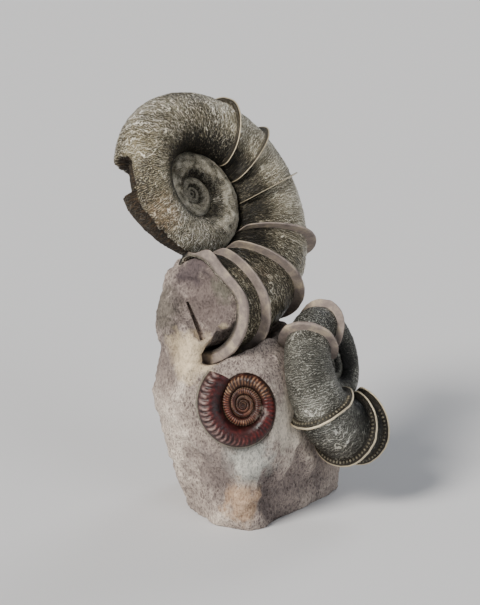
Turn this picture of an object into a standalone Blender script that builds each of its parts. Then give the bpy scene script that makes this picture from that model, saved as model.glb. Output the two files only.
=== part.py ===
"""Two large fossil ammonites with collars and a small ribbed one, on a block of prepared stone.

Metres, +Z up. The origin is the middle of the flat base; the front faces -Y.
"""
import math

import bpy
import bmesh
import numpy as np
from mathutils import Vector, noise

MM = 0.001
GAP = 0.3 * MM

# Upper shell, the large one. The winding angle is zero where the tube is lowest.
UPPER_CENTRE = (-56.9, 22.5, 250.0)
UPPER_DOWN = (0.434, -0.233, -0.870)
UPPER_AHEAD = (-0.611, -0.786, -0.095)
UPPER_RADIUS = 88.6
UPPER_GROWTH = 0.144
UPPER_THICKNESS = 0.44
UPPER_FLATNESS = 1.04
UPPER_LEAN = 12
UPPER_NARROWING = 0.06
UPPER_START = -1240
UPPER_THIN_COLLARS = (-124.5, -100, -73.5)
UPPER_THICK_COLLARS = (-40, -12, 15)
UPPER_LIP = 28.3
THIN_COLLAR_HEIGHT = 6.0
THICK_COLLAR_HEIGHT = 8.0

# The upper lip bows forward beside the inner whorls: winding angles, sector around the
# tube, degrees forward and depth that the tube is pressed in there.
BOW_ANGLES = (16, 28)
BOW_SECTOR = (70, 118, 150, 200)
LIP_BOW = 5.5
LIP_PRESS = 4.0

# A collar's profile along the tube, in millimetres at the tube's outer side, from
# its edge: back foot, back edge, front edge, front foot.
THIN_PROFILE = (-1.8, -0.7, 0.7, 1.8)
THICK_PROFILE = (-2.4, -1.6, 1.6, 3.0)
# How far around the tube, from its outer side, the collars reach on the front flank and
# on the back flank, and over how much of that they die out.
COLLAR_REACH = 170
LIP_REACH = 155
BACK_REACH = 148
COLLAR_FADE = 23
BACK_FADE = 41
# How far the edges of the side shell's thin collars lean forward, as a share of height.
SIDE_COLLAR_LEAN = 0.7

# Break in the upper shell at its left: a notch, and beside it a lost outer layer.
NOTCH_ANGLES = (-248.5, -246.5, -226, -220)
NOTCH_DEPTH = 12.0
WORN_ANGLES = (-335, -305, -285, -255, -248, -246.5)
WORN_DEPTH = 4.0

# Where the stone covers the upper shell at the left of its mouth: from winding angle,
# to winding angle, middle and half width around the tube, and how far the shell sinks.
COVER_ANGLES = (6, 14)
COVER_MIDDLE = -105
COVER_HALF_WIDTHS = (58, 90)
COVER_DEPTH = 7.0

# Side shell, the smaller one on the right.
SIDE_CENTRE = (54.9, -13.2, 116.8)
SIDE_DOWN = (0.256, -0.250, -0.934)
SIDE_AHEAD = (0.443, 0.889, -0.117)
SIDE_RADIUS = 52.0
SIDE_GROWTH = 0.1454
SIDE_THICKNESS = 0.469
SIDE_FLATNESS = 0.96
SIDE_LEAN = 5.4
SIDE_NARROWING = 0.0
SIDE_START = -960
SIDE_THICK_COLLARS = (-182, -126.6)
SIDE_THIN_COLLARS = (-55.3, -9.7)
SIDE_LIP = 11.3
SIDE_COLLAR_HEIGHT = 6.8

# Facets around a tube, and degrees along it between one ring of facets and the next.
AROUND_TUBE = 16
UPPER_STEP = 16
SIDE_STEP = 18

# Share of each whorl's radius that stays open between it and the next whorl out.
WHORL_GAP = 0.045
# How much wider than the inner whorl the hollow is in which the next whorl holds it.
SEAM_WIDENING = 1.45

# How far the inner side of a tube bulges toward the whorl inside it.
EMBRACE = 0.08

# Flattened ball in the middle of each coil: its radius and half thickness, as shares of
# the spiral's radius at the tube's inner end.
HUB_RADIUS = 1.38
HUB_DEPTH = 0.66

# Depth of the open mouth of each large shell, and the wall around it.
UPPER_MOUTH_DEPTH = 22.0
SIDE_MOUTH_DEPTH = 3.0
MOUTH_WALL = 2.4

# Stone that bulges from the upper shell's mouth: winding angle, size and shift left.
MOUTH_BULGE = ((27.5, 0.93, 0), (29.5, 0.76, 5), (31, 0.5, 10))
# Recess in the stone of the mouth: its sector around the tube and its depth in degrees.
RECESS_SECTOR = (-30, 54)
RECESS_DEPTH = 11
# Where the stone is cleared from around the last collars: from winding angle and the
# sector around the tube.
CLEARED_FROM = -21
CLEARED_SECTOR = (-28, 112)
CLEARED_IN_FRONT = 35
# Dip in the stone of the mouth: its size and place across, down and outward.
DISH_SIZE = (28, 36, 12)
DISH_PLACE = (18, 0, 12)
# Slot in the stone of the mouth: its two ends, its widths there and its depth.
SLOT_TOP = (-58.9, -38.5, 176.8)
SLOT_BOTTOM = (-46.3, -53.9, 150.4)
SLOT_WIDTHS = (0.8, 3.2)
SLOT_DEPTH = 14

# Small ribbed shell, set in the front of the stone. Its rim radii are given at each
# quarter turn, from the top of the whorl before last.
RIBBED_CENTRE = (-15.4, -69.5, 102.2)
RIBBED_TILT = 15
RIBBED_QUARTERS = (-4, -3, -2, -1, 0, 1, 2, 3, 4)
RIBBED_RIMS = (14.2, 14.6, 16.0, 15.8, 24.6, 25.0, 33.0, 36.4, 39.6)
RIBBED_LAST_QUARTER = 3.5
RIBBED_INNER_SCALE = 0.6
RIBS_PER_TURN = 26
RIB_HEIGHT = 1.0
RIB_BEND = 0.012
RIBBED_BACK = 7.0
# Smooth hollow around the ribbed shell: its size and place right, up and outward.
MOAT_SIZE = (47, 47, 14)
MOAT_PLACE = (0, -5, 12.5)

# Stone: how far each side of the block reaches from the origin, in the plan
# direction given, at each of these heights.
STONE_HEIGHTS = (0, 35, 70, 100, 130, 155, 185, 202)
STONE_AXIS_X = (-5, -8, -12, -16, -28, -42, -57, -60)
STONE_AXIS_Y = (-5, -5, -5, -8, -14, -18, -22, -22)
STONE_SIDES = {
    180: (60, 72, 80, 87, 82, 84, 82, 76),
    224: (65, 68, 74, 77, 78, 80, 78, 75),
    262: (79, 77, 78, 76, 70, 66, 52, 38),
    324: (42, 45, 51, 50, 40, 18, -10, -26),
    0: (66, 66, 62, 52, 30, 10, -28, -50),
    45: (76, 76, 72, 64, 46, 22, -20, -44),
    90: (74, 74, 70, 62, 50, 34, 0, -14),
    135: (76, 82, 84, 82, 76, 64, 46, 37),
}
STONE_ROUNDING = 5.0
STONE_LEVELS = 19
STONE_AROUND = 34
STONE_ROUGHNESS = 2.2
STONE_LUMP_SIZE = 26.0

# Dabs that raise or hollow the block: centre, width and height.
STONE_DABS = (
    ((-14, -82, 30), 20, 5.0),
    ((14, -50, 22), 20, -6.0),
    ((-60, -48, 92), 26, 4.0),
    ((-66, -50, 50), 24, -3.0),
    ((-84, -22, 150), 16, 2.0),
    ((-20, -54, 146), 20, -24.0),
)

UPPER_COLOUR = (0.085, 0.078, 0.055)
SIDE_COLOUR = (0.075, 0.072, 0.058)
RIBBED_COLOUR = (0.16, 0.035, 0.018)
STONE_COLOUR = (0.45, 0.37, 0.33)


def vec(values):
    """A point given in millimetres, in metres."""
    return np.array(values, dtype=float) * MM


def unit(values):
    values = np.array(values, dtype=float)
    return values / np.linalg.norm(values)


def smooth_step(low, high, value):
    """Rises smoothly from 0 at low to 1 at high."""
    share = np.clip((value - low) / (high - low), 0, 1)
    return share * share * (3 - 2 * share)


def smooth_curve(places, values, at):
    """A smooth line through the given values."""
    places = np.array(places, dtype=float)
    values = np.array(values, dtype=float)
    slopes = np.gradient(values, places)
    at = np.clip(at, places[0], places[-1])
    i = np.clip(np.searchsorted(places, at) - 1, 0, len(places) - 2)
    span = places[i + 1] - places[i]
    t = (at - places[i]) / span
    start = (1 + 2 * t) * (1 - t) ** 2 * values[i] + t * (1 - t) ** 2 * span * slopes[i]
    end = t * t * (3 - 2 * t) * values[i + 1] + t * t * (t - 1) * span * slopes[i + 1]
    return start + end


class Coil:
    """A tube that winds outward along a flat spiral and widens as it goes."""

    def __init__(self, centre, down, ahead, radius, growth, thickness, narrowing, flatness,
                 lean, flank, bow=0.0, press=0.0):
        self.centre = vec(centre)
        self.down = unit(down)
        self.ahead = unit(np.array(ahead) - np.dot(ahead, self.down) * self.down)
        self.flank = flank * np.cross(self.down, self.ahead)
        self.radius = radius * MM
        self.growth = growth
        self.thickness = thickness
        self.narrowing = narrowing
        self.flatness = flatness
        self.lean = math.radians(lean)
        self.bow = math.radians(bow)
        self.press = press * MM

    def centre_radius(self, angle):
        return self.radius * np.exp(self.growth * angle)

    def tube_radius(self, angle):
        narrowed = 1 - self.narrowing * smooth_step(-1.0, 0.4, angle)
        return self.thickness * self.centre_radius(angle) * narrowed

    def bowed(self, angle, phi):
        """Share of the forward bow of the lip, at a place on the tube."""
        rise, full, high, low = np.radians(BOW_SECTOR)
        around = phi % (2 * math.pi)
        around = smooth_step(rise, full, around) * (1 - smooth_step(high, low, around))
        return around * smooth_step(*np.radians(BOW_ANGLES), angle)

    def section(self, angle, swell, phi, sink=0.0, ahead=0.0):
        """One ring around the tube: phi is 0 on its outer side and turns to the front flank."""
        bow = self.bowed(angle, phi)
        swell = swell - self.press * bow
        angle = (angle + self.bow * bow + ahead / self.centre_radius(angle))[:, None]
        radial = np.cos(angle) * self.down + np.sin(angle) * self.ahead
        forward = np.cos(angle) * self.ahead - np.sin(angle) * self.down
        along = (forward + self.growth * radial) / math.hypot(1, self.growth)
        outward = (radial - self.growth * forward) / math.hypot(1, self.growth)
        outward = math.cos(self.lean) * outward - math.sin(self.lean) * along
        hug = 1 + EMBRACE * smooth_step(0.2, 1, -np.cos(phi))
        reach = self.tube_radius(angle) * hug[:, None] + (swell - sink)[:, None]
        round_tube = np.cos(phi)[:, None] * outward
        round_tube = round_tube + self.flatness * np.sin(phi)[:, None] * self.flank
        return self.centre + self.centre_radius(angle) * radial + reach * round_tube

    def clear_of_last_whorl(self, points, angle, spare):
        """Pushes the ring's inner side out, off the whorl that lies inside it."""
        offset = points - self.centre
        x = offset @ self.down
        y = offset @ self.ahead
        across = offset @ self.flank
        place = np.arctan2(y, x)
        place = place + 2 * math.pi * np.round((angle - place) / (2 * math.pi))
        inner = self.centre_radius(place - 2 * math.pi)
        tube = self.tube_radius(place - 2 * math.pi)
        level = np.clip(across / (SEAM_WIDENING * self.flatness * tube), -1, 1)
        limit = inner + tube * np.sqrt(1 - level ** 2) + WHORL_GAP * inner + spare
        limit = np.where(np.abs(level) < 1, limit, 0)
        here = np.hypot(x, y)
        push = np.maximum(limit / here, 1)
        moved = (x * push)[:, None] * self.down + (y * push)[:, None] * self.ahead
        return self.centre + moved + across[:, None] * self.flank


def centred(phi, middle=0.0):
    """The turn from the middle to phi, between minus half a turn and half a turn."""
    return (phi - middle + math.pi) % (2 * math.pi) - math.pi


def collar_fade(phi, reach):
    """Collars die out toward the inner side of the tube, sooner at the back."""
    turned = np.degrees(centred(phi))
    front = 1 - smooth_step(reach - COLLAR_FADE, reach, turned)
    back = smooth_step(-BACK_REACH, BACK_FADE - BACK_REACH, turned)
    return np.minimum(front, back)


def whole_surface(angle, phi):
    """Depth lost and share of the collar left, where nothing is missing."""
    return np.zeros_like(phi), np.ones_like(phi)


def upper_cover(angle, phi):
    """1 where the stone covers the upper shell beside its mouth, 0 where it is free."""
    start, full = np.radians(COVER_ANGLES)
    inside, outside = np.radians(COVER_HALF_WIDTHS)
    away = np.abs(centred(phi, math.radians(COVER_MIDDLE)))
    return smooth_step(start, full, angle) * (1 - smooth_step(inside, outside, away))


def upper_surface(angle, phi):
    """Depth lost at the break and under the stone, and share of the collar left."""
    turned = centred(phi)
    start, full, end, stop = np.radians(NOTCH_ANGLES)
    along = smooth_step(start, full, angle) * (1 - smooth_step(end, stop, angle))
    around = smooth_step(-1.9, -1.3, turned) * (1 - smooth_step(0.15, 0.55, turned))
    notch = NOTCH_DEPTH * along * around
    start, full, thin, thick, end, stop = np.radians(WORN_ANGLES)
    along = smooth_step(start, full, angle) * (1 - smooth_step(end, stop, angle))
    along *= 1 - 0.6 * smooth_step(thin, thick, angle)
    around = smooth_step(-2.1, -1.7, turned) * (1 - smooth_step(0.3, 0.48, turned))
    worn = WORN_DEPTH * along * around
    cover = upper_cover(angle, phi)
    return (np.maximum(notch, worn) + COVER_DEPTH * cover) * MM, 1 - cover


def collar_rings(coil, angle, height, profile, lean=0.0):
    """The four rings that make one collar: foot, edge, edge, foot."""
    outer = coil.centre_radius(math.radians(angle)) * (1 + coil.thickness)
    angles = [angle + math.degrees(place * MM / outer) for place in profile]
    rises = (0.0, height, height, 0.0)
    sides = (-1, -1, 1, 1)
    return [(*ring, ring[1] * lean) for ring in zip(angles, rises, sides)]


def shell_rings(coil, start, step, collars, extra_angles, lip):
    """All rings of a shell.

    Each is a winding angle in degrees, collar height, side of the collar and lean.
    """
    rings = []
    for collar in collars:
        rings += collar_rings(coil, *collar)
    rings += collar_rings(coil, *lip)[:3]
    last = lip[0]
    taken = [ring[0] for ring in rings]
    angle = last
    while angle > start:
        angle -= step if angle > last - 420 else 1.45 * step
        if min(abs(angle - other) for other in taken) > 0.45 * step:
            rings.append((angle, 0.0, 0, 0.0))
    rings += [(angle, 0.0, 0, 0.0) for angle in extra_angles]
    return sorted(rings)


def shell_mesh(name, coil, rings, around, surface, mouth_depth, spare=0.0, open_whorls=True):
    """The closed skin of one shell, with its open mouth at the last ring."""
    phi = np.linspace(0, 2 * math.pi, around, endpoint=False)
    lip = rings[-1][0]
    degrees_per_metre = math.degrees(1 / coil.centre_radius(math.radians(lip)))
    lip += spare * degrees_per_metre
    loops = []
    for degrees_along, height, side, lean in rings[:-1] + [(lip, *rings[-1][1:])]:
        angle = math.radians(degrees_along)
        lost, collar_left = surface(angle, phi)
        fade = collar_fade(phi, LIP_REACH if degrees_along > lip - 3 else COLLAR_REACH)
        swell = height * MM * fade * collar_left + spare
        ahead = lean * MM * fade + 1.7 * side * spare
        points = coil.section(angle, swell, phi, lost, ahead)
        if open_whorls:
            points = coil.clear_of_last_whorl(points, angle, 0)
        loops.append(points)
    wall = MOUTH_WALL * MM + spare
    turn = (mouth_depth * MM) * degrees_per_metre
    for share in (0.0, 0.5, 1.0):
        angle = math.radians(lip - share * turn)
        lost = surface(angle, phi)[0]
        points = coil.section(angle, np.zeros_like(phi) - wall, phi, lost)
        points = coil.clear_of_last_whorl(points, angle, wall - spare)
        loops.append(points)
    return loft(name, loops)


def loft(name, loops, bent=False):
    """A closed skin over a row of loops.

    Each end is closed to a middle point, or, where the loop bends around an empty
    middle, straight across from its outer half to its inner half.
    """
    shape = bmesh.new()
    rows = []
    for points in loops:
        rows.append([shape.verts.new(point) for point in points])
    count = len(rows[0])
    for row, following in zip(rows, rows[1:]):
        for i in range(count):
            j = (i + 1) % count
            shape.faces.new((row[i], row[j], following[j]))
            shape.faces.new((row[i], following[j], following[i]))
    for row, points in ((rows[0], loops[0]), (rows[-1], loops[-1])):
        if bent:
            for i in range(count // 2 - 1):
                shape.faces.new((row[i], row[i + 1], row[count - 2 - i], row[count - 1 - i]))
        else:
            middle = shape.verts.new(np.mean(points, axis=0))
            for i in range(count):
                shape.faces.new((row[i], row[(i + 1) % count], middle))
    bmesh.ops.recalc_face_normals(shape, faces=shape.faces)
    mesh = bpy.data.meshes.new(name)
    shape.to_mesh(mesh)
    shape.free()
    return bpy.data.objects.new(name, mesh)


def upper_coil():
    return Coil(UPPER_CENTRE, UPPER_DOWN, UPPER_AHEAD, UPPER_RADIUS, UPPER_GROWTH,
                UPPER_THICKNESS, UPPER_NARROWING, UPPER_FLATNESS, UPPER_LEAN, -1,
                LIP_BOW, LIP_PRESS)


def side_coil():
    return Coil(SIDE_CENTRE, SIDE_DOWN, SIDE_AHEAD, SIDE_RADIUS, SIDE_GROWTH,
                SIDE_THICKNESS, SIDE_NARROWING, SIDE_FLATNESS, SIDE_LEAN, 1)


def upper_rings():
    collars = [(angle, THIN_COLLAR_HEIGHT, THIN_PROFILE) for angle in UPPER_THIN_COLLARS]
    collars += [(angle, THICK_COLLAR_HEIGHT, THICK_PROFILE) for angle in UPPER_THICK_COLLARS]
    lip = (UPPER_LIP, THICK_COLLAR_HEIGHT, THICK_PROFILE)
    at_break = NOTCH_ANGLES + (-290, -268, -256)
    return shell_rings(upper_coil(), UPPER_START, UPPER_STEP, collars, at_break, lip)


def side_rings():
    thin = (SIDE_COLLAR_HEIGHT, THIN_PROFILE, SIDE_COLLAR_LEAN)
    collars = [(angle, SIDE_COLLAR_HEIGHT, THICK_PROFILE) for angle in SIDE_THICK_COLLARS]
    collars += [(angle, *thin) for angle in SIDE_THIN_COLLARS]
    lip = (SIDE_LIP, *thin)
    return shell_rings(side_coil(), SIDE_START, SIDE_STEP, collars, (), lip)


def rings_after(rings, start):
    return [ring for ring in rings if ring[0] > start]


def upper_lytoceras():
    return shell_mesh("upper_lytoceras", upper_coil(), upper_rings(), AROUND_TUBE,
                      upper_surface, UPPER_MOUTH_DEPTH)


def side_lytoceras():
    return shell_mesh("side_lytoceras", side_coil(), side_rings(), AROUND_TUBE,
                      whole_surface, SIDE_MOUTH_DEPTH)


def upper_seat():
    """Cutter that follows the last turn of the upper shell at a small distance."""
    return shell_mesh("upper_seat", upper_coil(), rings_after(upper_rings(), -205),
                      AROUND_TUBE, upper_surface, UPPER_MOUTH_DEPTH, GAP, False)


def side_seat():
    """Cutter that follows the last turn of the side shell at a small distance."""
    return shell_mesh("side_seat", side_coil(), rings_after(side_rings(), -320),
                      AROUND_TUBE, whole_surface, SIDE_MOUTH_DEPTH, GAP, False)


def hub(name, coil, start):
    """A flattened ball that fills the middle of a coil, inside the tube's first turn."""
    size = coil.centre_radius(math.radians(start)) / MM
    sizes = (HUB_RADIUS * size, HUB_RADIUS * size, HUB_DEPTH * size)
    return flattened_ball(name, coil.centre, (coil.down, coil.ahead, coil.flank), sizes, 10, 36)


def whorl_cutter(name, coil, angles):
    """A plain piece of a shell's inner whorl, a little larger than the tube."""
    phi = np.linspace(0, 2 * math.pi, AROUND_TUBE, endpoint=False)
    return loft(name, [coil.section(math.radians(angle), 2 * GAP + 0 * phi, phi)
                       for angle in angles])


def ribbed_rim(turn):
    """Radius of the ribbed shell's spiral rim; turn counts turns from the top."""
    scale = 1.0
    while turn < -0.99999:
        turn += 1
        scale *= RIBBED_INNER_SCALE
    return scale * float(smooth_curve(RIBBED_QUARTERS, RIBBED_RIMS, 4 * turn)) * MM


def ribbed_axes():
    """The ribbed shell's middle, and its right, up and facing directions."""
    tilt = math.radians(RIBBED_TILT)
    right = np.array([1.0, 0.0, 0.0])
    up = np.array([0.0, math.sin(tilt), math.cos(tilt)])
    facing = np.array([0.0, -math.cos(tilt), math.sin(tilt)])
    return vec(RIBBED_CENTRE), right, up, facing


def ribbed_place(turn, radius, height):
    """A point of the ribbed shell, which winds clockwise from its top."""
    centre, right, up, facing = ribbed_axes()
    angle = math.pi / 2 - 2 * math.pi * turn
    return centre + radius * (math.cos(angle) * right + math.sin(angle) * up) + height * facing


def ribbed_point(turn, share, rib):
    """A point on the face of a whorl: share runs from its rim to the whorl inside."""
    rim = ribbed_rim(turn)
    seam = ribbed_rim(turn - 1)
    width = rim - seam
    outermost = turn > RIBBED_LAST_QUARTER / 4 - 1
    rim_height = 0.0 if outermost else 0.16 * width
    seam_height = 0.16 * (seam - ribbed_rim(turn - 2))
    crown = 0.42 * width * (4 * share * (1 - share)) ** 0.6
    relief = rib * RIB_HEIGHT * MM * width / (16 * MM) * (4 * share * (1 - share)) ** 0.5
    height = rim_height * (1 - share) + seam_height * share + crown + relief
    bend = RIB_BEND * 4 * share * (1 - share)
    return ribbed_place(turn - bend, rim - share * width, height)


def ribbed_outline(spare):
    """The outer rim, then the step back in at the mouth."""
    steps = 2 * RIBS_PER_TURN
    last = RIBBED_LAST_QUARTER / 4
    outline = [(last - i / steps, ribbed_rim(last - i / steps) + spare) for i in range(steps)]
    inner = ribbed_rim(last - 1) + spare
    outline.append((last - 1 + spare / inner / 6, inner))
    return outline


def ribbed_ammonite():
    steps = 2 * RIBS_PER_TURN
    last = RIBBED_LAST_QUARTER / 4
    shares = ((0.0, 0.16, 0.4, 0.7), (0.0, 0.3, 0.65), (0.0, 0.5), (0.0, 0.5))
    shape = bmesh.new()
    columns = []
    for i in range(len(shares) * steps + 1):
        turn = last - i / steps
        rib = 1.0 if i % 2 == 0 else -1.0
        whorl = min(i // steps, len(shares) - 1)
        column = [shape.verts.new(ribbed_point(turn, share, rib)) for share in shares[whorl]]
        columns.append(column)
    for i in range(len(columns) - 1):
        here = list(columns[i])
        following = list(columns[i + 1])
        if i + steps + 1 < len(columns):
            here.append(columns[i + steps][0])
            following.append(columns[i + 1 + steps][0])
        if len(here) == len(following):
            for a in range(len(here) - 1):
                shape.faces.new((here[a], following[a], following[a + 1], here[a + 1]))
        else:
            join_uneven(shape, here, following)
    close_ribbed_middle(shape, columns, steps)
    close_ribbed_back(shape, columns, steps)
    bmesh.ops.recalc_face_normals(shape, faces=shape.faces)
    mesh = bpy.data.meshes.new("ribbed_ammonite")
    shape.to_mesh(mesh)
    shape.free()
    return bpy.data.objects.new("ribbed_ammonite", mesh)


def join_uneven(shape, here, following):
    """Joins two columns that hold different numbers of points."""
    a = 0
    b = 0
    while a < len(here) - 1 or b < len(following) - 1:
        ahead_here = (a + 1) / (len(here) - 1)
        ahead_following = (b + 1) / (len(following) - 1)
        if b == len(following) - 1 or (a < len(here) - 1 and ahead_here <= ahead_following):
            shape.faces.new((here[a], following[b], here[a + 1]))
            a += 1
        else:
            shape.faces.new((here[a], following[b], following[b + 1]))
            b += 1


def close_ribbed_middle(shape, columns, steps):
    """Closes the smallest whorl over its middle."""
    centre = shape.verts.new(ribbed_place(0, 0, 0.3 * MM))
    inner = columns[-steps - 1:]
    for here, following in zip(inner, inner[1:]):
        edge = here[-1]
        shape.faces.new((edge, following[-1], centre))
    last = columns[-1]
    first = inner[0]
    shape.faces.new((first[-1], centre, last[-1], last[0]))


def close_ribbed_back(shape, columns, steps):
    """Side walls and back of the ribbed shell, which lie in the stone."""
    front = [column[0] for column in columns[:steps + 1]]
    front += list(reversed(columns[0][1:]))
    last = RIBBED_LAST_QUARTER / 4
    rows = [front]
    for depth, scale, bent in ((0.35, 0.97, 0.7), (1.0, 0.7, 0.0)):
        outline = ribbed_outline(0)
        for share in (0.7, 0.4, 0.16):
            rim = ribbed_rim(last)
            bend = bent * RIB_BEND * 4 * share * (1 - share)
            outline.append((last - bend, rim - share * (rim - ribbed_rim(last - 1))))
        height = -depth * RIBBED_BACK * MM
        places = [ribbed_place(turn, scale * radius, height) for turn, radius in outline]
        rows.append([shape.verts.new(place) for place in places])
    count = len(front)
    for row, following in zip(rows, rows[1:]):
        for i in range(count):
            j = (i + 1) % count
            shape.faces.new((row[i], row[j], following[j], following[i]))
    middle = shape.verts.new(ribbed_place(last - 0.25, 5 * MM, -RIBBED_BACK * MM))
    for i in range(count):
        shape.faces.new((rows[-1][i], rows[-1][(i + 1) % count], middle))


def stone_radius(direction_x, direction_y, axis_x, axis_y, height):
    """How far the block reaches from its axis, in one plan direction, at one height."""
    low = np.zeros_like(direction_x)
    high = np.full_like(direction_x, 140.0)
    for _ in range(30):
        middle = (low + high) / 2
        x = axis_x + middle * direction_x
        y = axis_y + middle * direction_y
        total = np.zeros_like(middle)
        for azimuth, reaches in STONE_SIDES.items():
            reach = smooth_curve(STONE_HEIGHTS, reaches, height)
            along = x * math.cos(math.radians(azimuth)) + y * math.sin(math.radians(azimuth))
            total = total + np.exp(np.clip((along - reach) / STONE_ROUNDING, -50, 50))
        outside = total > 1
        high = np.where(outside, middle, high)
        low = np.where(outside, low, middle)
    return (low + high) / 2


def stone_loops(levels, around):
    """Level outlines of the block, from its base to its top."""
    turn = np.linspace(0, 2 * math.pi, around, endpoint=False)
    top = STONE_HEIGHTS[-1]
    loops = []
    for i in range(levels + 1):
        share = i / levels
        height = top * (1 - (1 - share) ** 1.25)
        axis_x = smooth_curve(STONE_HEIGHTS, STONE_AXIS_X, height)
        axis_y = smooth_curve(STONE_HEIGHTS, STONE_AXIS_Y, height)
        direction_x = np.cos(turn)
        direction_y = np.sin(turn)
        heights = np.full_like(turn, height)
        radius = stone_radius(direction_x, direction_y, axis_x, axis_y, heights)
        x = axis_x + radius * direction_x
        y = axis_y + radius * direction_y
        swell = np.zeros_like(radius)
        for centre, width, raised in STONE_DABS:
            away = (x - centre[0]) ** 2 + (y - centre[1]) ** 2 + (heights - centre[2]) ** 2
            swell += raised * np.exp(-away / width ** 2)
        for j in range(around):
            place = Vector((x[j], y[j], height)) / STONE_LUMP_SIZE
            swell[j] += STONE_ROUGHNESS * noise.fractal(place, 0.7, 2.2, 3)
        swell *= smooth_step(0, 16, radius)
        x = x + swell * direction_x
        y = y + swell * direction_y
        loops.append(np.stack([x, y, heights], axis=1) * MM)
    return loops


def mouth_fill():
    """The stone that fills the upper shell's mouth, laps over its left side and bulges out."""
    coil = upper_coil()
    phi = np.linspace(0, 2 * math.pi, 28, endpoint=False)
    loops = []
    lap = (MOUTH_WALL / 2 + 1.2) * MM
    for degrees_along in (5, 10, 15, 20, UPPER_LIP - 2.2):
        angle = math.radians(degrees_along)
        lapped = upper_cover(angle, phi) > 0.5
        loops.append(coil.section(angle, lap * lapped - MOUTH_WALL / 2 * MM, phi))
    for degrees_along, share, shift in MOUTH_BULGE:
        angle = math.radians(degrees_along)
        offset = 2 * lap * upper_cover(angle, phi) - MOUTH_WALL * MM
        points = coil.section(angle, offset, phi)
        middle = np.mean(points, axis=0)
        loops.append(middle + share * (points - middle) - shift * MM * coil.flank)
    return loft("mouth_fill", loops)


def mouth_recess():
    """Cutter that hollows the stone in the lower right of the upper shell's mouth."""
    coil = upper_coil()
    phi = np.radians(np.linspace(*RECESS_SECTOR, 12))
    wall = (MOUTH_WALL * MM - 2 * GAP) * np.ones_like(phi)
    loops = []
    for angle in np.radians(np.linspace(UPPER_LIP - RECESS_DEPTH, UPPER_LIP, 4)):
        loops.append(coil.section(angle, -wall, phi))
    loops.append(coil.section(math.radians(UPPER_LIP + 0.6), -wall / 3, phi))
    loops.append(loops[-1] + CLEARED_IN_FRONT * MM * ribbed_axes()[3])
    return loft("mouth_recess", loops)


def collar_clearance():
    """Cutter that frees the last collars of the upper shell, below and in front of them."""
    coil = upper_coil()
    phi = np.radians(np.linspace(*CLEARED_SECTOR, 12))
    outside = (THICK_COLLAR_HEIGHT * MM + 2 * GAP) * np.ones_like(phi)
    loops = []
    for degrees_along in (CLEARED_FROM, -12, -3, 6, 15, 21, UPPER_LIP + 0.6):
        angle = math.radians(degrees_along)
        inside = (2.4 if degrees_along > 10 else 5.0) * MM * np.ones_like(phi)
        outer = coil.section(angle, outside, phi)
        inner = coil.section(angle, -inside, phi[::-1])
        loops.append(np.concatenate([outer, inner]))
    loops.append(loops[-1] + CLEARED_IN_FRONT * MM * ribbed_axes()[3])
    return loft("collar_clearance", loops, bent=True)


def flattened_ball(name, middle, axes, sizes, count=26, step=18):
    """A flattened ball with the given axes and half sizes."""
    turn = np.linspace(0, 2 * math.pi, count, endpoint=False)
    around = np.outer(np.cos(turn), axes[0]) * sizes[0] + np.outer(np.sin(turn), axes[1]) * sizes[1]
    loops = []
    for angle in np.radians(np.arange(step / 2 - 90, 90, step)):
        level = middle + math.sin(angle) * sizes[2] * MM * axes[2]
        loops.append(level + math.cos(angle) * around * MM)
    return loft(name, loops)


def mouth_dish():
    """Cutter for the smooth dip in the stone of the mouth, right of the slot."""
    frame = upper_coil().section(math.radians(UPPER_LIP), np.zeros(4), np.radians((0, 90, 180, 270)))
    across = unit(frame[1] - frame[3])
    downward = unit(frame[0] - frame[2])
    axes = (across, downward, np.cross(downward, across))
    middle = np.mean(frame, axis=0) + vec(DISH_PLACE) @ np.array(axes)
    return flattened_ball("mouth_dish", middle, axes, DISH_SIZE)


def ribbed_pocket():
    """Cutter for the seat of the ribbed shell, open to the front."""
    outline = ribbed_outline(1.2 * GAP)
    loops = []
    for height, scale in ((-RIBBED_BACK - 0.4, 0.9), (-0.35 * RIBBED_BACK - 0.4, 1.0), (25, 1.0)):
        loops.append(np.array([ribbed_place(turn, scale * radius, height * MM)
                               for turn, radius in outline]))
    return loft("ribbed_pocket", loops)


def ribbed_moat():
    """Cutter for the shallow smooth hollow around the ribbed shell."""
    centre, right, up, facing = ribbed_axes()
    axes = (right, up, facing)
    middle = centre + vec(MOAT_PLACE) @ np.array(axes)
    return flattened_ball("ribbed_moat", middle, axes, MOAT_SIZE)


def slot_cutter():
    """Cutter for the narrow open slot in the stone of the mouth."""
    facing = ribbed_axes()[3]
    top = vec(SLOT_TOP)
    bottom = vec(SLOT_BOTTOM)
    across = unit(np.cross(bottom - top, facing))
    loops = []
    for depth in (-SLOT_DEPTH, SLOT_DEPTH):
        corners = []
        for end, width, sign in ((top, 0, 1), (top, 0, -1), (bottom, 1, -1), (bottom, 1, 1)):
            offset = sign * SLOT_WIDTHS[width] / 2 * MM * across + depth * MM * facing
            corners.append(end + offset)
        loops.append(np.array(corners))
    return loft("slot", loops)


def solid_colour(name, colour, roughness):
    material = bpy.data.materials.new(name)
    material.use_nodes = True
    surface = material.node_tree.nodes["Principled BSDF"]
    surface.inputs["Base Color"].default_value = (*colour, 1)
    surface.inputs["Roughness"].default_value = roughness
    surface.inputs["Metallic"].default_value = 0
    return material


def new_collection(name):
    collection = bpy.data.collections.new(name)
    bpy.context.scene.collection.children.link(collection)
    return collection


def put_in(collection, item):
    for other in item.users_collection:
        other.objects.unlink(item)
    collection.objects.link(item)


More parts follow.
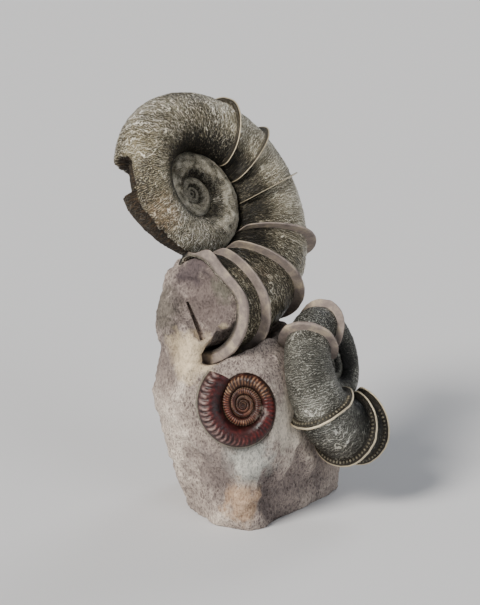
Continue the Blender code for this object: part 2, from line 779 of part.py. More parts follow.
def main():
    for item in list(bpy.data.objects):
        bpy.data.objects.remove(item)
    parts = new_collection("fossil_lytoceras_ammonite")
    cutters = new_collection("cutters")

    stone = loft("matrix_stone", stone_loops(STONE_LEVELS, STONE_AROUND))
    upper = upper_lytoceras()
    side = side_lytoceras()
    ribbed = ribbed_ammonite()
    looks = (
        (stone, STONE_COLOUR, 0.85),
        (upper, UPPER_COLOUR, 0.45),
        (side, SIDE_COLOUR, 0.4),
        (ribbed, RIBBED_COLOUR, 0.3),
    )
    for item, colour, roughness in looks:
        put_in(parts, item)
        item.data.materials.append(solid_colour(item.name, colour, roughness))

    tools = [
        upper_seat(),
        whorl_cutter("upper_inner_seat", upper_coil(), range(-440, -179, 20)),
        side_seat(),
        whorl_cutter("side_inner_seat", side_coil(), range(-680, -299, 20)),
        collar_clearance(),
        mouth_recess(),
        mouth_dish(),
        slot_cutter(),
        ribbed_pocket(),
        ribbed_moat(),
    ]
    fill = mouth_fill()
    upper_hub = hub("upper_hub", upper_coil(), UPPER_START)
    side_hub = hub("side_hub", side_coil(), SIDE_START)
    additions = new_collection("additions")
    for item in (fill, upper_hub, side_hub):
        put_in(additions, item)
    for tool in tools:
        put_in(cutters, tool)
    for item in tools + [fill, upper_hub, side_hub]:
        item.hide_render = True
        item.display_type = "WIRE"
    for item, addition in ((stone, fill), (upper, upper_hub), (side, side_hub)):
        union = item.modifiers.new("addition", "BOOLEAN")
        union.operation = "UNION"
        union.solver = "EXACT"
        union.object = addition
    difference = stone.modifiers.new("seats", "BOOLEAN")
    difference.operation = "DIFFERENCE"
    difference.solver = "EXACT"
    difference.operand_type = "COLLECTION"
    difference.collection = cutters


main()
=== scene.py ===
"""Two large collared ammonites and a small ribbed one on a block of prepared stone.

Metres, +Z up. The origin is the middle of the flat base; the front faces -Y.
"""
import itertools
import math

import bmesh
import bpy
import numpy as np
from mathutils import Matrix, Vector
from mathutils.bvhtree import BVHTree

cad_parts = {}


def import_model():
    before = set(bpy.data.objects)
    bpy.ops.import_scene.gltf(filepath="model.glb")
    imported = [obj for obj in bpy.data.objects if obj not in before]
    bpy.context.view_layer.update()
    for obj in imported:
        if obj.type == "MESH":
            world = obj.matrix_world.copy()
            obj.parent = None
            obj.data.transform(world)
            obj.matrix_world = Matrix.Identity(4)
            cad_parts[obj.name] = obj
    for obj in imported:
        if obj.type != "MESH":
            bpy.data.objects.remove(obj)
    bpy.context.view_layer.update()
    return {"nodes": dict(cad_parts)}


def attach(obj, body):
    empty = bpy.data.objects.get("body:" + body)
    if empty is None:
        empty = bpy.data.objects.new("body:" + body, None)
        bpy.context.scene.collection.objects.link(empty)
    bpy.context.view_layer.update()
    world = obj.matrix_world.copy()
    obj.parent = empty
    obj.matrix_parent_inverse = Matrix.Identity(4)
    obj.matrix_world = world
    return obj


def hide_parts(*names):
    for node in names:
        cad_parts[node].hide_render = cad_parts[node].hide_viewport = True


MM = 0.001
TURN = 2 * math.pi

# Large shells: middle of the coil, direction to the tube's lowest place, direction the
# tube grows there, and side of the viewer. Then radius and growth of the coil; thickness
# of the tube as a share of the radius, narrowing toward the mouth, and flatness; lean of
# the rings in degrees; and how far the lip bows forward, in degrees, and is pressed in.
UPPER_COIL = {
    "centre": (-56.9, 22.5, 250.0),
    "down": (0.434, -0.233, -0.870),
    "ahead": (-0.611, -0.786, -0.095),
    "flank": -1,
    "radius": 88.6,
    "growth": 0.144,
    "thickness": 0.44,
    "narrowing": 0.06,
    "flatness": 1.04,
    "lean": 12,
    "lip_bow": 5.5,
    "lip_press": 4.0,
}
SIDE_COIL = {
    "centre": (54.9, -13.2, 116.8),
    "down": (0.256, -0.250, -0.934),
    "ahead": (0.443, 0.889, -0.117),
    "flank": 1,
    "radius": 52.0,
    "growth": 0.1454,
    "thickness": 0.469,
    "narrowing": 0.0,
    "flatness": 0.96,
    "lean": 5.4,
    "lip_bow": 0.0,
    "lip_press": 0.0,
}
# Half profiles of a collar: millimetres from its middle along the tube, and shares of its height.
BROAD_PROFILE = (
    (0, 1.01), (1.35, 0.99), (1.5, 0.93), (1.55, 0.5), (1.6, 0.1), (1.8, 0.03), (2.4, 0),
)
THIN_PROFILE = (
    (0.3, 1.0), (0.55, 0.96), (0.55, 0.88), (0.45, 0.84), (0.5, 0.3), (0.8, 0.06), (1.6, 0),
)
# Kinds of collar: height, profile, and how far the edge leans forward.
UPPER_THIN = (6.0, THIN_PROFILE, 0.0)
UPPER_BROAD = (8.0, BROAD_PROFILE, 0.0)
SIDE_BROAD = (6.8, BROAD_PROFILE, 0.0)
SIDE_THIN = (6.8, THIN_PROFILE, 0.7)
# Collars: winding angle, kind, and how far around the tube they reach.
UPPER_COLLARS = (
    (-124.5, UPPER_THIN, 172), (-100, UPPER_THIN, 172), (-73.5, UPPER_THIN, 172),
    (-40, UPPER_BROAD, 168), (-12, UPPER_BROAD, 168), (15, UPPER_BROAD, 160),
    (28.3, UPPER_BROAD, 155),
)
SIDE_COLLARS = (
    (-182, SIDE_BROAD, 168), (-126.6, SIDE_BROAD, 168),
    (-55.3, SIDE_THIN, 172), (-9.7, SIDE_THIN, 172), (11.3, SIDE_THIN, 172),
)
# Where the upper lip bows forward: winding angles, and sector around the tube.
BOW_ANGLES = (16, 28)
BOW_SECTOR = (70, 118, 150, 200)

# Skin of a large shell: first winding angle, degrees from ring to ring, points around the
# tube, depth of the open mouth, and the number that picks its noise.
UPPER_SKIN = {"start": -1700, "step": 0.5, "around": 86, "mouth_depth": 22, "seed": 5}
SIDE_SKIN = {"start": -1500, "step": 0.6, "around": 84, "mouth_depth": 3, "seed": 23}
# Thickness of the shell's wall at the mouth, and how far the shell sinks under the stone.
MOUTH_WALL = 2.4
COVERED_DEPTH = 7
# How much further than its collar a pale band reaches around the tube, in degrees.
PALE_FURTHER = 12
# One unit of the coordinates on the shell: winding angle in radians, and units for each
# radian around the tube.
LINE_ANGLE = 0.0235
LINES_AROUND = 18.0
# Relief on the last whorl: growth lines, roughness, what wear adds to it, lumps, what age
# adds to them, and how far the rings waver.
LINE_RELIEF = 1.1
ROUGH_RELIEF = 0.2
WORN_RELIEF = 0.7
LUMP_RELIEF = 0.5
OLD_LUMP_RELIEF = 1.5
RING_WAVER = 0.9
# Winding angles in radians over which the old inner whorls end, the collared part starts,
# and painted shade darkens the shell toward the mouth; and the turn around the tube over
# which painted shade darkens it toward the seam with the whorl inside it.
OLD_WHORLS = (-6.6, -5.6)
COLLARED_PART = (-2.7, -1.7)
NEAR_MOUTH = (-0.95, 0)
SEAM_SHADE_TURN = (1.75, 2.6)

# Break and worn strip of the upper shell, and where the stone laps over its mouth.
NOTCH_ANGLES = (-248.5, -246.5, -226, -221)
NOTCH_DEPTH = 12.0
WORN_ANGLES = (-335, -305, -285, -255, -248, -246.5)
WORN_DEPTH = 4.0
COVER_ANGLES = (6, 14)
COVER_MIDDLE = -105
COVER_HALF_WIDTHS = (58, 90)

# Small ribbed shell: rim radii at each quarter turn, from the top of an inner whorl.
RIBBED_CENTRE = (-15.4, -69.5, 102.2)
RIBBED_TILT = 15
RIBBED_QUARTERS = range(-4, 5)
RIBBED_RIMS = (14.2, 14.6, 16.0, 15.8, 24.6, 25.0, 33.0, 36.4, 39.6)
RIBBED_LAST = 0.875
RIBBED_SLANT = 0.06
RIBBED_WHORLS = 6
RIBS_PER_TURN = 46
STEPS_PER_RIB = 7
# Shares of a whorl's width at which its points lie; the first two are on its outer side.
RIBBED_SHARES = (-0.2, -0.04, 0, 0.02, 0.05, 0.08, 0.12, 0.18, 0.26, 0.35, 0.45, 0.55, 0.66,
                 0.76, 0.85, 0.92, 0.97, 1.0)
# Arch of a whorl and its step over the next, as shares of its width; relief of ribs and
# keel on a whorl of the stated width; and depth of the outer side.
WHORL_ARCH = 0.42
WHORL_STEP = 0.16
RIB_RELIEF = 1.3
KEEL_RELIEF = 0.5
RELIEF_WIDTH = 16
RIBBED_DEPTH = 6

# Slot in the stone of the mouth.
SLOT_TOP = (-58.9, -38.5, 176.8)
SLOT_BOTTOM = (-46.3, -53.9, 150.4)
SLOT_WIDTHS = (2.0, 4.8)
SLOT_DEPTH = 14
# Distance between the points of the stone's skin.
STONE_STEP = 1.3
# The hollow around the ribbed shell, smoother than the rest: radii where that ends.
SMOOTH_MOAT = (38, 50)
# Where the filling of the mouth runs smoothly into the block: ends of a line, and radius.
SMOOTH_JOIN = ((-69, -36, 182), (-47, -47, 145), 9)
# Ridges and hollows of the stone: ends of the middle line, radius, and how far it stands out.
STONE_FORMS = (
    ((-54, -52, 142), (-62, -48, 104), 10, 3.5),
    ((-66, -36, 192), (-68, -44, 138), 5, -3.5),
    ((-76, -30, 92), (-66, -36, 40), 20, 5.5),
    ((-64, -50, 76), (-38, -66, 56), 6, 3.0),
    ((-58, -54, 60), (-44, -62, 44), 6, -2.5),
    ((-38, -62, 34), (-36, -62, 26), 6, -4.0),
    ((-17, -74, 50), (-15, -73, 8), 9, 3.0),
    ((-36, -62, 2), (-30, -66, 10), 10, 5.0),
    ((3, -66, 42), (6, -60, 12), 10, -6.0),
    ((8, -60, 34), (26, -50, 66), 6, 3.0),
    ((32, -32, 26), (46, -10, 20), 12, -3.0),
    ((36, -34, 52), (42, -24, 34), 6, 3.0),
    ((-84, 0, 130), (-88, 10, 60), 12, -4.0),
    ((-80, 40, 120), (-60, 60, 60), 10, 3.5),
    ((10, 70, 110), (-10, 78, 40), 10, -4.5),
)
# Stains, painted light and painted shade on the stone: centre, radius, colour and strength.
STONE_STAINS_AND_LIGHT = (
    ((-44, -44, 184), 38, "776864", 0.85),
    ((-56, -34, 202), 18, "5f5255", 0.7),
    ((-30, -50, 190), 13, "71715f", 0.6),
    ((-80, -30, 168), 24, "6f685d", 0.75),
    ((-58, -54, 138), 24, "f3dcb6", 0.85),
    ((-82, -32, 118), 26, "8c7d76", 0.65),
    ((-30, -56, 155), 9, "ead7b2", 0.7),
    ((-12, -78, 60), 26, "cdd1c8", 0.6),
    # Painted light on the right side, beside the side shell.
    ((20, -58, 84), 28, "f2e6d4", 0.8),
    ((-42, -64, 44), 32, "7d706c", 0.75),
    # Painted shade low down on the right of the front.
    ((26, -50, 24), 30, "7a6b68", 0.5),
    ((-17, -80, 24), 22, "c8a078", 0.6),
    ((60, 10, 30), 22, "b3a396", 0.4),
)

# Colours of the large shells, from hollows to crests: position and colour code.
UPPER_TONES = (
    (0.0, "15120d"), (0.18, "3b362a"), (0.36, "857c66"), (0.58, "dfd7c0"), (0.85, "fffaf0"),
)
SIDE_TONES = (
    (0.0, "0f0f0d"), (0.23, "282721"), (0.45, "65635a"), (0.7, "cfcec2"), (0.95, "faf8f0"),
)
# Stains, painted light and painted shade on the large shells: centre, radius, colour and strength.
UPPER_STAINS_AND_LIGHT = (
    # Painted light on the upper left flank, over its lighter cream tone.
    ((-88, -22, 283), 44, "bdb08c", 0.8),
    # Painted highlight on the collared tube.
    ((8, -15, 238), 36, "b0a58b", 0.6),
    ((-48, 10, 312), 46, "877d62", 0.85),
    ((-76, -34, 246), 19, "a88457", 0.6),
    ((-98, -18, 258), 15, "8a6f4a", 0.4),
    ((2, -30, 200), 16, "6b4a2c", 0.5),
)
# Painted shade on the lower part of the side shell.
SIDE_PAINTED_SHADE = (((54, -42, 62), 28, "3f3d36", 0.75),)
# Fineness of the light lines on the large shells, along the coil and around the tube.
UPPER_FINENESS = (0.72, 0.65)
SIDE_FINENESS = (0.6, 0.5)
# Painted highlight on the ribbed shell, a silvery glint: centre and radius.
PAINTED_GLINT_SPOT = ((-3, -74, 97), 7)

# Small ball in the middle of a coil: radius as a share of the coil's first, and flatness.
HUB_SIZE = 1.25
HUB_FLATNESS = 0.5
# Beads on the side shell's thin collars: radius, spacing, stretch away from the tube,
# and how far around the tube they go.
BEAD_RADIUS = 0.85
BEAD_SPACING = 2.7
BEAD_STRETCH = 0.5
BEAD_TURN = 1.9

CAMERA_TARGET = (-17.6, 0.0, 166.0)
CAMERA_DISTANCE = 1500
CAMERA_ELEVATION = 15
CAMERA_LENS = 111.57

# Lights: name, place in metres, power, width of the source in radians, and colour.
LIGHTS = (
    ("key_light", (-2.2, -2.2, 2.7), 4.2, 0.35, (1.0, 0.96, 0.9)),
    ("fill_light", (2.4, -2.6, 1.6), 0.9, 0.6, (0.93, 0.96, 1.0)),
    ("rim_light", (1.4, 2.4, 2.4), 0.7, 0.4, (0.95, 0.97, 1.0)),
)
LIGHT_TARGET = (-0.02, 0, 0.16)
FLOOR_REACH = 60
FLOOR_COLOUR = (0.68, 0.68, 0.69, 1)
WORLD_COLOUR = (0.8, 0.84, 0.9, 1)
WORLD_STRENGTH = 0.26


def vec(values):
    """A point given in millimetres, in metres."""
    return np.array(values, dtype=float) * MM


def unit(values):
    values = np.array(values, dtype=float)
    return values / np.linalg.norm(values, axis=-1, keepdims=True)


def rise(low, high, value):
    """Rises smoothly from 0 at low to 1 at high."""
    share = np.clip((value - low) / (high - low), 0, 1)
    return share * share * (3 - 2 * share)


def plateau(start, full, high, end, value):
    """1 from full to high, and smoothly down to 0 at start and end."""
    return rise(start, full, value) * (1 - rise(high, end, value))


def smooth_curve(places, values, at):
    """A smooth line through the given values."""
    places = np.array(places, dtype=float)
    values = np.array(values, dtype=float)
    slopes = np.gradient(values, places)
    at = np.clip(at, places[0], places[-1])
    i = np.clip(np.searchsorted(places, at) - 1, 0, len(places) - 2)
    span = places[i + 1] - places[i]
    t = (at - places[i]) / span
    start = (1 + 2 * t) * (1 - t) ** 2 * values[i] + t * (1 - t) ** 2 * span * slopes[i]
    end = t * t * (3 - 2 * t) * values[i + 1] + t * t * (t - 1) * span * slopes[i + 1]
    return start + end


def random_at(x, y, z, seed):
    """A fixed random number from 0 to 1 for each whole-numbered place."""
    value = np.sin(x * 127.1 + y * 311.7 + z * 74.7 + seed * 53.3) * 43758.5453
    return value - np.floor(value)


def noise(x, y, z, seed):
    """Smooth noise from -1 to 1 with about one lump for each whole step."""
    low = [np.floor(v) for v in (x, y, z)]
    part = [v - f for v, f in zip((x, y, z), low)]
    part = [p * p * (3 - 2 * p) for p in part]
    total = 0
    for corner in itertools.product((0, 1), repeat=3):
        weight = math.prod(p if side else 1 - p for p, side in zip(part, corner))
        total = total + weight * random_at(*[f + side for f, side in zip(low, corner)], seed)
    return 2 * total - 1


def fractal_noise(x, y, z, seed, octaves):
    total = 0
    for i in range(octaves):
        total = total + noise(x * 2 ** i, y * 2 ** i, z * 2 ** i, seed + i) / 2 ** i
    return total / 1.6


def centred(phi, middle=0.0):
    """The turn from the middle to phi, between minus half a turn and half a turn."""
    return (phi - middle + math.pi) % TURN - math.pi


class Coil:
    """A tube that winds outward along a flat spiral and widens as it goes."""

    def __init__(self, shape):
        self.centre = vec(shape["centre"])
        self.down = unit(shape["down"])
        ahead = np.array(shape["ahead"])
        self.ahead = unit(ahead - np.dot(ahead, self.down) * self.down)
        self.flank = shape["flank"] * np.cross(self.down, self.ahead)
        self.radius = shape["radius"] * MM
        self.growth = shape["growth"]
        self.thickness = shape["thickness"]
        self.narrowing = shape["narrowing"]
        self.flatness = shape["flatness"]
        self.lean = math.radians(shape["lean"])
        self.lip_bow = math.radians(shape["lip_bow"])
        self.lip_press = shape["lip_press"] * MM

    def centre_radius(self, angle):
        return self.radius * np.exp(self.growth * angle)

    def tube_radius(self, angle):
        narrowed = 1 - self.narrowing * rise(-1.0, 0.4, angle)
        return self.thickness * self.centre_radius(angle) * narrowed

    def outer_radius(self, angle):
        return self.centre_radius(angle) * (1 + self.thickness)

    def bowed(self, angle, phi):
        """Share of the forward bow of the lip, at a place on the tube."""
        around = plateau(*np.radians(BOW_SECTOR), np.mod(phi, TURN))
        return around * rise(*np.radians(BOW_ANGLES), angle)

    def points(self, angle, phi, swell):
        """Points on the tube; phi is 0 on its outer side and turns to the front flank."""
        bow = self.bowed(angle, phi)
        swell = swell - self.lip_press * bow
        angle = (angle + self.lip_bow * bow)[..., None]
        phi = np.asarray(phi)[..., None]
        radial = np.cos(angle) * self.down + np.sin(angle) * self.ahead
        forward = np.cos(angle) * self.ahead - np.sin(angle) * self.down
        along = unit(forward + self.growth * radial)
        outward = unit(radial - self.growth * forward)
        outward = math.cos(self.lean) * outward - math.sin(self.lean) * along
        hug = 1 + 0.08 * rise(0.2, 1, -np.cos(phi))
        reach = self.tube_radius(angle) * hug + np.asarray(swell)[..., None]
        round_tube = np.cos(phi) * outward + self.flatness * np.sin(phi) * self.flank
        return self.centre + self.centre_radius(angle) * radial + reach * round_tube

    def clear_of_last_whorl(self, points, angle, spare):
        """Pushes the inner side of the tube off the whorl that lies inside it."""
        offset = points - self.centre
        x = offset @ self.down
        y = offset @ self.ahead
        across = offset @ self.flank
        place = np.arctan2(y, x)
        place = place + TURN * np.round((angle - place) / TURN)
        inner = self.centre_radius(place - TURN)
        tube = self.tube_radius(place - TURN)
        level = np.clip(across / (1.2 * self.flatness * tube), -1, 1)
        limit = inner + tube * np.sqrt(1 - level ** 2) + 0.012 * inner + spare
        limit = np.where(np.abs(level) < 1, limit, 0)
        push = np.maximum(limit / np.hypot(x, y), 1)
        moved = (x * push)[..., None] * self.down + (y * push)[..., None] * self.ahead
        return self.centre + moved + across[..., None] * self.flank


def collar_left(phi, reach):
    """Share of a collar's height around the tube: it dies out on the inner side."""
    reach = np.radians(reach)
    return 1 - rise(reach - 0.4, reach, np.abs(centred(phi)))


def growth_lines(angle, phi, seed):
    """Crests of the crinkled growth lines, from 0 to 1."""
    x = angle / LINE_ANGLE
    y = phi * LINES_AROUND
    bend = 0.6 * noise(0.35 * x, 0.22 * y, 0, seed) + 0.4 * noise(0.9 * x, 0.7 * y, 5, seed)
    line = 1 - np.abs(2 * ((0.8 * x + bend) % 1) - 1)
    crest = rise(0.35, 1.0, line) * (0.5 + 0.5 * noise(0.5 * x, 0.45 * y, 9, seed))
    worms = 1 - np.abs(noise(0.45 * x + bend, 0.3 * y - bend, 14, seed))
    worms = rise(0.8, 1.0, worms)
    lumps = 0.5 + 0.5 * noise(1.1 * x, 0.6 * y, 20, seed)
    return np.clip(0.7 * crest + 0.55 * worms + 0.3 * lumps, 0, 1)


def both_sides(half):
    """A whole profile from its half, which starts at or beside its middle."""
    return [(-along, share) for along, share in reversed(half) if along > 0] + list(half)


def shell_rings(coil, start, collars, step):
    """Rings along a shell: angle, collar height, pale band, rim, flange face for painted shade, lean
    and reach.
    """
    rings = []
    taken = []
    for place, (height, profile, lean), reach in collars:
        middle = math.radians(place)
        outer = coil.outer_radius(middle) / MM
        last = place == collars[-1][0]
        thin = profile is THIN_PROFILE
        for i, (along, share) in enumerate(both_sides(profile)):
            if last and along > 1.6:
                continue
            angle = middle + along / outer
            pale = share > 0.05 and not thin
            rim = share > 0.86 and thin
            order = middle + 1e-6 * i
            # Rows of a thin collar's flange face, which get painted shade.
            flange = 0.2 < share < 0.86 and thin
            rings.append((order, angle, height * share, pale, rim, flange, lean, reach))
        taken.append((middle, 3.2 / outer))
    end = math.radians(collars[-1][0])
    angle = end
    while angle > math.radians(start):
        turned = end - angle
        widen = 1 + 2.4 * rise(6.3, 7.5, turned) + 9 * rise(8, 17, turned)
        angle -= math.radians(step) * widen
        if all(abs(angle - middle) > half_width for middle, half_width in taken):
            rings.append((angle, angle, 0, 0, 0, 0, 0, 170))
    return np.array(sorted(rings))[:, 1:]


def upper_cover(angle, phi):
    """1 where the stone covers the upper shell beside its mouth, 0 where it is free."""
    away = np.abs(centred(phi, math.radians(COVER_MIDDLE)))
    free = rise(*np.radians(COVER_HALF_WIDTHS), away)
    return rise(*np.radians(COVER_ANGLES), angle) * (1 - free)


def upper_wear(angle, phi):
    """Depth lost where the upper shell is broken or worn, how worn it is, and its cover."""
    turned = centred(phi)
    ragged = 0.035 * noise(6 * phi, 0, 0, 71) + 0.02 * noise(17 * phi, 0, 0, 72)
    start, full, end, stop = np.radians(NOTCH_ANGLES)
    along = rise(start, full, angle + ragged) * (1 - rise(end, stop, angle - ragged))
    around = plateau(-1.9, -1.3, 0.15, 0.55, turned)
    notch = NOTCH_DEPTH * along * around
    start, full, thin, thick, end, stop = np.radians(WORN_ANGLES)
    along = plateau(start, full, end, stop, angle)
    edge = 0.1 * noise(9 * angle, 4, 0, 73) + 0.05 * noise(30 * angle, 4, 0, 74)
    around = rise(-2.1, -1.7, turned) * (1 - rise(0.33, 0.42, turned + edge))
    worn = along * around
    depth = np.maximum(notch, WORN_DEPTH * worn * (1 - 0.6 * rise(thin, thick, angle)))
    return depth * MM, np.maximum(worn, rise(1, 4, notch)), upper_cover(angle, phi)


def no_wear(angle, phi):
    """The same for a shell that is whole and free."""
    nothing = np.zeros(np.broadcast(angle, phi).shape)
    return nothing, nothing, nothing


def skin_relief(coil, angles, phi, bare, worn, seed):
    """Height of growth lines and lumps on the bare skin, and the fields that colour them."""
    crest = growth_lines(angles, phi, seed) * bare * (1 - 0.3 * worn)
    rough = fractal_noise(angles * 30, phi * 12, 0, seed + 40, 3)
    lumps = fractal_noise(angles * 6, phi * 4, 0, seed + 50, 3) * bare
    old = 1 - rise(*OLD_WHORLS, angles)
    relief = LINE_RELIEF * crest + (ROUGH_RELIEF + WORN_RELIEF * worn) * rough
    relief = relief + (LUMP_RELIEF + OLD_LUMP_RELIEF * old) * lumps
    scale = coil.centre_radius(angles) / coil.radius
    return relief * scale * MM, {"crest": crest, "old": old * (0.5 + 0.5 * lumps)}


def mouth_lining(coil, end, turn, phi, wear):
    """Inner wall of the open mouth, from the lip in to its floor."""
    wall = MOUTH_WALL * MM
    angle = end - np.array([[0.0], [0.02], [0.5 * turn], [turn]])
    lost, _, covered = wear(angle, phi)
    depth = lost + COVERED_DEPTH * MM * covered + wall
    return coil.clear_of_last_whorl(coil.points(angle, phi, -depth), angle, wall)


def length_along(coil, angles, height, mouth_turn):
    """Coordinate along the shell for each ring, over the collars and into the mouth."""
    outer = coil.outer_radius(angles[1:])
    travel = np.hypot(np.diff(angles), np.diff(height) * MM / outer)
    travel = np.append(travel, [0.1, 0.02, mouth_turn / 2, mouth_turn / 2])
    return np.append(0, np.cumsum(travel)) / LINE_ANGLE


def shell_piece(name, coil, skin, collars, wear):
    """One large shell with its growth lines, collars and mouth."""
    seed = skin["seed"]
    rings = shell_rings(coil, skin["start"], collars, skin["step"])
    angles, height, pale, rim, flange, lean, reach = [rings[:, i:i + 1] for i in range(7)]
    phi = np.linspace(-math.pi, math.pi, skin["around"], endpoint=False)[None, :]
    ragged = 1 + 0.04 * noise(3 * phi, 2 * angles, 0, seed) + 0.03 * noise(9 * phi, 2 * angles, 3, seed)
    left = collar_left(phi, reach)
    lost, worn, covered = wear(angles, phi)
    collar = height * MM * left * ragged * (1 - covered)
    bare = 1 - rise(0, 0.2, left) * (height > 0)
    relief, fields = skin_relief(coil, angles, phi, bare, worn, seed)
    swell = collar + relief - lost - COVERED_DEPTH * MM * covered

    scale = coil.centre_radius(angles) / coil.radius
    waver = RING_WAVER * MM * noise(angles * 5, phi * 1.4, 0, seed + 60) * scale
    moved = angles + (waver + lean * collar) / coil.outer_radius(angles)
    points = coil.clear_of_last_whorl(coil.points(moved, phi, swell), moved, 0.0)
    mouth_turn = skin["mouth_depth"] * MM / coil.centre_radius(angles[-1, 0])
    lining = mouth_lining(coil, moved[-1:], mouth_turn, phi, wear)

    pale = pale * rise(0, 0.08, collar_left(phi, reach + PALE_FURTHER))
    rim = rim * rise(0, 0.4, left)
    # Painted shade toward the seam with the whorl inside, off the collars.
    seam = rise(*SEAM_SHADE_TURN, np.abs(centred(phi))) * (1 - np.maximum(pale, rim))
    fields.update(
        worn=worn, pale=pale, rim=rim, flange=flange * rise(0, 0.4, left), seam=seam,
        young=rise(*COLLARED_PART, angles), mouthward=rise(*NEAR_MOUTH, angles))
    nothing = np.zeros(lining.shape[:2])
    for field, values in fields.items():
        fields[field] = np.concatenate([np.broadcast_to(values, swell.shape), nothing])
    # The mouth's lining: dark matrix fill, with painted shade deepest in its recess.
    recess_shade = plateau(-0.7, -0.4, 0.9, 1.2, centred(phi))
    fields["inside"] = np.concatenate([0 * worn, nothing + 0.35 + 0.65 * recess_shade])

    along = length_along(coil, angles[:, 0], height[:, 0], mouth_turn)
    across = np.linspace(-math.pi, math.pi, skin["around"] + 1) * LINES_AROUND
    piece = tube_object(name, np.concatenate([points, lining]), along, across, fields)
    add_hub(piece.data, coil, angles[0, 0])
    return piece


def add_hub(mesh, coil, start):
    """A small flattened ball that fills the middle of the coil."""
    size = HUB_SIZE * coil.centre_radius(start)
    turn = np.array([coil.down, coil.ahead, coil.flank]).T
    place = Matrix([[*(size * row), spot] for row, spot in zip(turn, coil.centre)] + [[0, 0, 0, 1]])
    shape = bmesh.new()
    shape.from_mesh(mesh)
    flatten = Matrix.Diagonal((1, 1, HUB_FLATNESS, 1))
    bmesh.ops.create_icosphere(shape, subdivisions=3, radius=1, matrix=place @ flatten)
    for face in shape.faces:
        face.smooth = True
    shape.to_mesh(mesh)
    shape.free()


def grid_faces(rows, columns, closed):
    """Faces over rows of points; in a closed grid each row runs around."""
    row, column = np.meshgrid(np.arange(rows - 1), np.arange(columns - 1 + closed), indexing="ij")
    row = row.ravel()
    column = column.ravel()
    following = (column + 1) % columns
    corners = ((row, column), (row, following), (row + 1, following), (row + 1, column))
    return np.stack([r * columns + c for r, c in corners], axis=-1)


def tube_object(name, points, along, across, fields):
    """A closed tube over a grid of points, with surface coordinates and named fields."""
    rings, around, _ = points.shape
    middles = [points[0].mean(axis=0), points[-1].mean(axis=0)]
    vertices = np.vstack([points.reshape(-1, 3)] + middles)
    quads = grid_faces(rings, around, True)
    last = (rings - 1) * around
    faces = quads.tolist()
    faces += [((i + 1) % around, i, rings * around) for i in range(around)]
    faces += [(last + i, last + (i + 1) % around, rings * around + 1) for i in range(around)]
    mesh = bpy.data.meshes.new(name)
    mesh.from_pydata(vertices.tolist(), [], faces)
    ring, place = np.divmod(quads[:, :1], around)
    corner_along = along[ring + np.array([0, 0, 1, 1])]
    corner_across = across[place + np.array([0, 1, 1, 0])]
    coordinates = np.stack([corner_along.ravel(), corner_across.ravel()], -1)
    coordinates = np.vstack([coordinates, np.zeros((6 * around, 2))])
    layer = mesh.uv_layers.new(name="surface")
    layer.data.foreach_set("uv", coordinates.astype(np.float32).ravel())
    for field, values in fields.items():
        set_field(mesh, field, np.append(values, [0, 0]))
    return finished_object(mesh)


def set_field(mesh, name, values):
    attribute = mesh.attributes.new(name, "FLOAT", "POINT")
    attribute.data.foreach_set("value", np.asarray(values, dtype=np.float32))


def placed(name, data):
    """A new object in the scene."""
    item = bpy.data.objects.new(name, data)
    bpy.context.scene.collection.objects.link(item)
    return item


def finished_object(mesh):
    """Turns the faces outward, smooths the shading and puts the object in the scene."""
    shape = bmesh.new()
    shape.from_mesh(mesh)
    bmesh.ops.recalc_face_normals(shape, faces=shape.faces)
    shape.to_mesh(mesh)
    shape.free()
    mesh.shade_smooth()
    return placed(mesh.name, mesh)


def bead_rows(coil):
    """Small beads in a row on the side of each thin collar that faces the viewer."""
    shape = bmesh.new()
    height, _, lean = SIDE_THIN
    for place, _, _ in SIDE_COLLARS[2:]:
        angle = math.radians(place)
        spacing = BEAD_SPACING * MM / coil.tube_radius(angle)
        swell = 0.5 * height * MM
        angle += (lean * swell - 0.6 * MM) / coil.outer_radius(angle)
        turns = np.arange(-BEAD_TURN, BEAD_TURN, spacing)
        centres = coil.points(angle, turns, swell)
        outer = coil.points(angle, turns, swell + MM)
        for centre, tip in zip(centres, outer):
            made = bmesh.ops.create_icosphere(shape, subdivisions=2, radius=BEAD_RADIUS * MM)
            stretch = Vector(unit(tip - centre))
            for vertex in made["verts"]:
                vertex.co += BEAD_STRETCH * vertex.co.dot(stretch) * stretch
                vertex.co += Vector(centre)
    mesh = bpy.data.meshes.new("side_collar_beads")
    shape.to_mesh(mesh)
    shape.free()
    return finished_object(mesh)


def ribbed_rim(turn):
    """Radius of the ribbed shell's spiral rim; turn counts turns from the top."""
    whorls_in = np.maximum(np.ceil(-1 - turn), 0)
    scale = (RIBBED_RIMS[0] / RIBBED_RIMS[4]) ** whorls_in
    return scale * smooth_curve(RIBBED_QUARTERS, RIBBED_RIMS, 4 * (turn + whorls_in)) * MM


def ribbed_axes():
    """The ribbed shell's middle, and its right, up and facing directions."""
    tilt = math.radians(RIBBED_TILT)
    right = np.array([1.0, 0.0, 0.0])
    up = np.array([0.0, math.sin(tilt), math.cos(tilt)])
    facing = np.array([0.0, -math.cos(tilt), math.sin(tilt)])
    return vec(RIBBED_CENTRE), right, up, facing


def rib_waves(turn, share, outermost):
    """Crests of the curved ribs: evenly high, and as strong as each one stands."""
    inside = np.clip(share, 0, 1)
    hook = 0.024 * np.sin(math.pi * np.clip(inside / 0.7, 0, 1)) * rise(0.35, 0.55, turn)
    curve = 0.006 * (4 * inside * (1 - inside)) + hook + 0.004 * noise(turn * 19, 2 * share, 0, 83)
    wave = 0.5 + 0.5 * np.cos(TURN * RIBS_PER_TURN * (turn + curve))
    strength = 0.65 + 0.35 * noise(turn * 7, share * 2, 0, 81)
    bold = 0.5 * rise(0.45, 0.6, turn) + 0.3 * rise(0.3, 0.15, turn) - 0.15
    strength = strength + outermost * bold
    ends = 1 - 0.32 * rise(0.25, 0.45, turn)
    ribs = wave ** 1.3 * rise(0.07, 0.2, inside) * rise(ends, ends - 0.35, inside)
    return wave, ribs * strength


